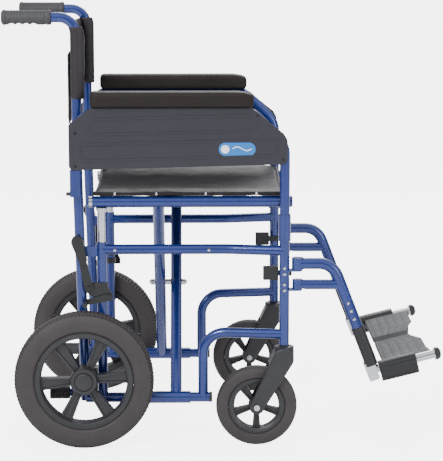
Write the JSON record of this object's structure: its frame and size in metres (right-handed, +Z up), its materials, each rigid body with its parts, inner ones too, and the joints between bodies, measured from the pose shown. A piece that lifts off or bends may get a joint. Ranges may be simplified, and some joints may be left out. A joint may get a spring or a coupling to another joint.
{
  "type": "folding attendant wheelchair",
  "caption": "Folding attendant-pushed wheelchair with solid rear wheels, swivel casters, lift-out armrests, swing-away leg rests and sling upholstery.",
  "frame": {"origin": "on the floor, midway between the two sides and midway along the overall length", "axes": "+X towards the footplates, +Y towards the sitter's left, +Z up"},
  "size_m": [0.949, 0.578, 0.9535],
  "materials": {
    "blue_enamel": "gloss powder coat",
    "black_plastic": "satin moulded",
    "grip_rubber": "matt moulded",
    "arm_pad_foam": "skinned foam",
    "panel_plastic": "satin sheet",
    "wheel_plastic": "fine texture",
    "tyre_rubber": "matt",
    "chrome": "polished",
    "black_steel": "satin paint",
    "footplate_plastic": "textured",
    "vinyl": "coated nylon"
  },
  "bodies": {
    "left_frame": {"back_post_left": "blue_enamel", "side_posts_left": "blue_enamel", "side_rails_left": "blue_enamel", "front_loop_left": "blue_enamel", "frame_fittings_left": "blue_enamel", "frame_trim_left": "black_plastic", "handle_grip_left": "grip_rubber", "wheel_axle_left": "chrome", "brake_bracket_left": "black_steel"},
    "seat_guide_left": {"guide_tube_left": "chrome"},
    "armrest_left": {"armrest_tube_left": "blue_enamel", "arm_pad_left": "arm_pad_foam", "side_panel_left": "panel_plastic"},
    "rear_wheel_left": {"wheel_rim_left": "wheel_plastic", "tyre_left": "tyre_rubber"},
    "brake_lever_left": {"brake_lever_left": "black_plastic"},
    "brake_shoe_left": {"brake_shoe_left": "black_steel"},
    "caster_fork_left": {"caster_fork_left": "wheel_plastic", "caster_axle_left": "chrome"},
    "caster_wheel_left": {"caster_rim_left": "wheel_plastic", "caster_tyre_left": "tyre_rubber"},
    "legrest_left": {"legrest_tube_left": "blue_enamel"},
    "legrest_latch_left": {"legrest_latch_left": "black_plastic"},
    "footrest_left": {"footrest_tube_left": "black_plastic", "footplate_rod_left": "chrome"},
    "footplate_left": {"footplate_left": "footplate_plastic"},
    "right_frame": {"back_post_right": "blue_enamel", "side_posts_right": "blue_enamel", "side_rails_right": "blue_enamel", "front_loop_right": "blue_enamel", "frame_fittings_right": "blue_enamel", "frame_trim_right": "black_plastic", "handle_grip_right": "grip_rubber", "wheel_axle_right": "chrome", "brake_bracket_right": "black_steel", "back_sling": "vinyl"},
    "seat_guide_right": {"guide_tube_right": "chrome", "seat_sling": "vinyl"},
    "armrest_right": {"armrest_tube_right": "blue_enamel", "arm_pad_right": "arm_pad_foam", "side_panel_right": "panel_plastic"},
    "rear_wheel_right": {"wheel_rim_right": "wheel_plastic", "tyre_right": "tyre_rubber"},
    "brake_lever_right": {"brake_lever_right": "black_plastic"},
    "brake_shoe_right": {"brake_shoe_right": "black_steel"},
    "caster_fork_right": {"caster_fork_right": "wheel_plastic", "caster_axle_right": "chrome"},
    "caster_wheel_right": {"caster_rim_right": "wheel_plastic", "caster_tyre_right": "tyre_rubber"},
    "legrest_right": {"legrest_tube_right": "blue_enamel"},
    "legrest_latch_right": {"legrest_latch_right": "black_plastic"},
    "footrest_right": {"footrest_tube_right": "black_plastic", "footplate_rod_right": "chrome"},
    "footplate_right": {"footplate_right": "footplate_plastic"},
    "brace_a": {"cross_brace_a": "blue_enamel", "seat_rail_right": "blue_enamel"},
    "brace_b": {"cross_brace_b": "blue_enamel", "seat_rail_left": "blue_enamel", "brace_pivot_bolt": "chrome"}
  },
  "joints": [
    {"name": "fold", "type": "hinge", "parent": "right_frame", "child": "brace_b", "pos_m": [-0.104, -0.215, 0.101], "axis": [1, 0, 0], "range_deg": [0, 29.41], "deforming": ["seat_sling", "back_sling"]},
    {"name": "brace_scissor", "type": "hinge", "parent": "brace_b", "child": "brace_a", "pos_m": [-0.12, 0, 0.3195], "axis": [1, 0, 0], "range_deg": [-58.82, 0]},
    {"name": "frame_fold", "type": "hinge", "parent": "brace_a", "child": "left_frame", "pos_m": [-0.141, 0.215, 0.101], "axis": [1, 0, 0], "range_deg": [0, 29.41]},
    {"name": "seat_guide_left", "type": "slide", "parent": "left_frame", "child": "seat_guide_left", "axis": [0, 0, 1], "range_m": [0, 0.15484]},
    {"name": "armrest_lift_left", "type": "slide", "parent": "left_frame", "child": "armrest_left", "axis": [0, 0, 1], "range_m": [0, 0.06]},
    {"name": "rear_wheel_left", "type": "hinge", "parent": "left_frame", "child": "rear_wheel_left", "pos_m": [-0.304, 0.26, 0.1525], "axis": [0, 1, 0], "continuous": true},
    {"name": "brake_left", "type": "hinge", "parent": "left_frame", "child": "brake_lever_left", "pos_m": [-0.293, 0.24, 0.352], "axis": [0, 1, 0], "range_deg": [0, 40]},
    {"name": "brake_shoe_left", "type": "hinge", "parent": "left_frame", "child": "brake_shoe_left", "pos_m": [-0.25, 0.232, 0.33], "axis": [0, 1, 0], "range_deg": [-9.2, 0]},
    {"name": "caster_swivel_left", "type": "hinge", "parent": "left_frame", "child": "caster_fork_left", "pos_m": [0.133, 0.24, 0.222], "axis": [0, 0, 1], "continuous": true},
    {"name": "caster_wheel_left", "type": "hinge", "parent": "caster_fork_left", "child": "caster_wheel_left", "pos_m": [0.073, 0.24, 0.089], "axis": [0, 1, 0], "continuous": true},
    {"name": "legrest_swing_left", "type": "hinge", "parent": "left_frame", "child": "legrest_left", "pos_m": [0.162, 0.24, 0.4], "axis": [0, 0, 1], "range_deg": [0, 95]},
    {"name": "legrest_latch_left", "type": "hinge", "parent": "left_frame", "child": "legrest_latch_left", "pos_m": [0.15, 0.2267, 0.382], "axis": [0, 0, 1], "range_deg": [0, 12], "stiffness_Nm_per_rad": 0.4},
    {"name": "footrest_height_left", "type": "slide", "parent": "legrest_left", "child": "footrest_left", "axis": [0.3616, 0, -0.9323], "range_m": [0, 0.05]},
    {"name": "footplate_flip_left", "type": "hinge", "parent": "footrest_left", "child": "footplate_left", "pos_m": [0.326, 0.232, 0.166], "axis": [-0.9703, 0, -0.2419], "range_deg": [0, 100]},
    {"name": "seat_guide_right", "type": "slide", "parent": "right_frame", "child": "seat_guide_right", "axis": [0, 0, 1], "range_m": [0, 0.15484]},
    {"name": "armrest_lift_right", "type": "slide", "parent": "right_frame", "child": "armrest_right", "axis": [0, 0, 1], "range_m": [0, 0.06]},
    {"name": "rear_wheel_right", "type": "hinge", "parent": "right_frame", "child": "rear_wheel_right", "pos_m": [-0.304, -0.26, 0.1525], "axis": [0, 1, 0], "continuous": true},
    {"name": "brake_right", "type": "hinge", "parent": "right_frame", "child": "brake_lever_right", "pos_m": [-0.293, -0.24, 0.352], "axis": [0, 1, 0], "range_deg": [0, 40]},
    {"name": "brake_shoe_right", "type": "hinge", "parent": "right_frame", "child": "brake_shoe_right", "pos_m": [-0.25, -0.232, 0.33], "axis": [0, 1, 0], "range_deg": [-9.2, 0]},
    {"name": "caster_swivel_right", "type": "hinge", "parent": "right_frame", "child": "caster_fork_right", "pos_m": [0.133, -0.24, 0.222], "axis": [0, 0, 1], "continuous": true},
    {"name": "caster_wheel_right", "type": "hinge", "parent": "caster_fork_right", "child": "caster_wheel_right", "pos_m": [0.073, -0.24, 0.089], "axis": [0, 1, 0], "continuous": true},
    {"name": "legrest_swing_right", "type": "hinge", "parent": "right_frame", "child": "legrest_right", "pos_m": [0.162, -0.24, 0.4], "axis": [0, 0, -1], "range_deg": [0, 95]},
    {"name": "legrest_latch_right", "type": "hinge", "parent": "right_frame", "child": "legrest_latch_right", "pos_m": [0.15, -0.2267, 0.382], "axis": [0, 0, -1], "range_deg": [0, 12], "stiffness_Nm_per_rad": 0.4},
    {"name": "footrest_height_right", "type": "slide", "parent": "legrest_right", "child": "footrest_right", "axis": [0.3616, 0, -0.9323], "range_m": [0, 0.05]},
    {"name": "footplate_flip_right", "type": "hinge", "parent": "footrest_right", "child": "footplate_right", "pos_m": [0.326, -0.232, 0.166], "axis": [0.9703, 0, 0.2419], "range_deg": [0, 100]}
  ],
  "couplings": [
    {"joint": "brace_scissor", "follows": "fold", "ratio": -2},
    {"joint": "frame_fold", "follows": "fold", "ratio": 1},
    {"joint": "seat_guide_left", "follows": "fold", "m_per_rad": 0.30165},
    {"joint": "brake_shoe_left", "follows": "brake_left", "ratio": -0.23},
    {"joint": "footplate_flip_left", "follows": "fold", "ratio": 3.3998},
    {"joint": "seat_guide_right", "follows": "fold", "m_per_rad": 0.30165},
    {"joint": "brake_shoe_right", "follows": "brake_right", "ratio": -0.23},
    {"joint": "footplate_flip_right", "follows": "fold", "ratio": 3.3998}
  ]
}
